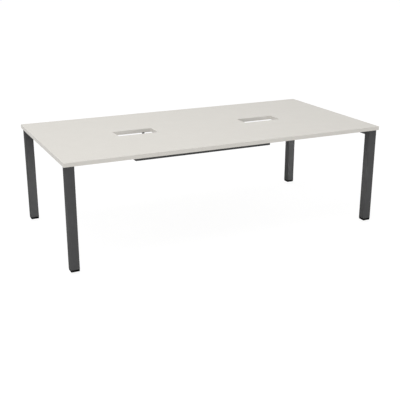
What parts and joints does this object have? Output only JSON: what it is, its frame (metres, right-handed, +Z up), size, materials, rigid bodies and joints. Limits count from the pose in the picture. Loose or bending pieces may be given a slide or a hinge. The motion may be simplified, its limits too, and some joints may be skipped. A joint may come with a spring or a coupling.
{
  "type": "meeting table",
  "caption": "Long rectangular meeting table: edged board with plain rectangular cable ports, square tube legs on screw-adjusted levelling feet, and a cable tray hung under the middle.",
  "frame": {"origin": "on the floor, under the middle of the board", "axes": "+X along the table to the right, +Y from the front to the back, +Z up"},
  "size_m": [2.4, 1.2, 0.74],
  "materials": {
    "board_laminate": "melamine faced chipboard, warm off-white, fine matt grain",
    "edge_band": "glued plastic edge band, warm off-white, satin",
    "powder_coat": "dark grey powder coat, fine texture, satin",
    "black_plastic": "moulded black plastic, matt",
    "zinc_steel": "zinc plated steel",
    "black_screw": "black plated steel screws, satin"
  },
  "bodies": {
    "table": {"tabletop_board": "board_laminate", "front_edge_band": "edge_band", "back_edge_band": "edge_band", "left_edge_band": "edge_band", "right_edge_band": "edge_band", "left_port_band": "edge_band", "right_port_band": "edge_band", "front_beam": "powder_coat", "back_beam": "powder_coat", "left_end_rail": "powder_coat", "right_end_rail": "powder_coat", "cable_tray": "powder_coat", "tabletop_screws": "zinc_steel", "tabletop_inserts": "zinc_steel", "beam_screws": "black_screw", "hanger_screws": "black_screw", "tray_bolts": "black_screw", "tray_nuts": "zinc_steel", "leg_plug_nuts": "zinc_steel", "front_left_leg": "powder_coat", "front_left_head_plate": "powder_coat", "front_left_beam_connector": "powder_coat", "front_left_tray_hanger": "powder_coat", "front_left_leg_plug": "black_plastic", "front_right_leg": "powder_coat", "front_right_head_plate": "powder_coat", "front_right_beam_connector": "powder_coat", "front_right_tray_hanger": "powder_coat", "front_right_leg_plug": "black_plastic", "back_left_leg": "powder_coat", "back_left_head_plate": "powder_coat", "back_left_beam_connector": "powder_coat", "back_left_tray_hanger": "powder_coat", "back_left_leg_plug": "black_plastic", "back_right_leg": "powder_coat", "back_right_head_plate": "powder_coat", "back_right_beam_connector": "powder_coat", "back_right_tray_hanger": "powder_coat", "back_right_leg_plug": "black_plastic"},
    "front_left_glide": {"front_left_foot_glide": "black_plastic"},
    "front_left_stud": {"front_left_levelling_stud": "zinc_steel"},
    "front_right_glide": {"front_right_foot_glide": "black_plastic"},
    "front_right_stud": {"front_right_levelling_stud": "zinc_steel"},
    "back_left_glide": {"back_left_foot_glide": "black_plastic"},
    "back_left_stud": {"back_left_levelling_stud": "zinc_steel"},
    "back_right_glide": {"back_right_foot_glide": "black_plastic"},
    "back_right_stud": {"back_right_levelling_stud": "zinc_steel"}
  },
  "joints": [
    {"name": "front_left_foot_travel", "type": "slide", "parent": "table", "child": "front_left_glide", "axis": [0, 0, -1], "range_m": [0, 0.015]},
    {"name": "front_left_foot_screw", "type": "hinge", "parent": "front_left_glide", "child": "front_left_stud", "pos_m": [-1.158, -0.558, 0.02], "axis": [0, 0, -1], "range_deg": [0, 3600]},
    {"name": "front_right_foot_travel", "type": "slide", "parent": "table", "child": "front_right_glide", "axis": [0, 0, -1], "range_m": [0, 0.015]},
    {"name": "front_right_foot_screw", "type": "hinge", "parent": "front_right_glide", "child": "front_right_stud", "pos_m": [1.158, -0.558, 0.02], "axis": [0, 0, -1], "range_deg": [0, 3600]},
    {"name": "back_left_foot_travel", "type": "slide", "parent": "table", "child": "back_left_glide", "axis": [0, 0, -1], "range_m": [0, 0.015]},
    {"name": "back_left_foot_screw", "type": "hinge", "parent": "back_left_glide", "child": "back_left_stud", "pos_m": [-1.158, 0.558, 0.02], "axis": [0, 0, -1], "range_deg": [0, 3600]},
    {"name": "back_right_foot_travel", "type": "slide", "parent": "table", "child": "back_right_glide", "axis": [0, 0, -1], "range_m": [0, 0.015]},
    {"name": "back_right_foot_screw", "type": "hinge", "parent": "back_right_glide", "child": "back_right_stud", "pos_m": [1.158, 0.558, 0.02], "axis": [0, 0, -1], "range_deg": [0, 3600]}
  ],
  "couplings": [
    {"joint": "front_left_foot_screw", "follows": "front_left_foot_travel", "rad_per_m": 4188.8},
    {"joint": "front_right_foot_screw", "follows": "front_right_foot_travel", "rad_per_m": 4188.8},
    {"joint": "back_left_foot_screw", "follows": "back_left_foot_travel", "rad_per_m": 4188.8},
    {"joint": "back_right_foot_screw", "follows": "back_right_foot_travel", "rad_per_m": 4188.8}
  ]
}
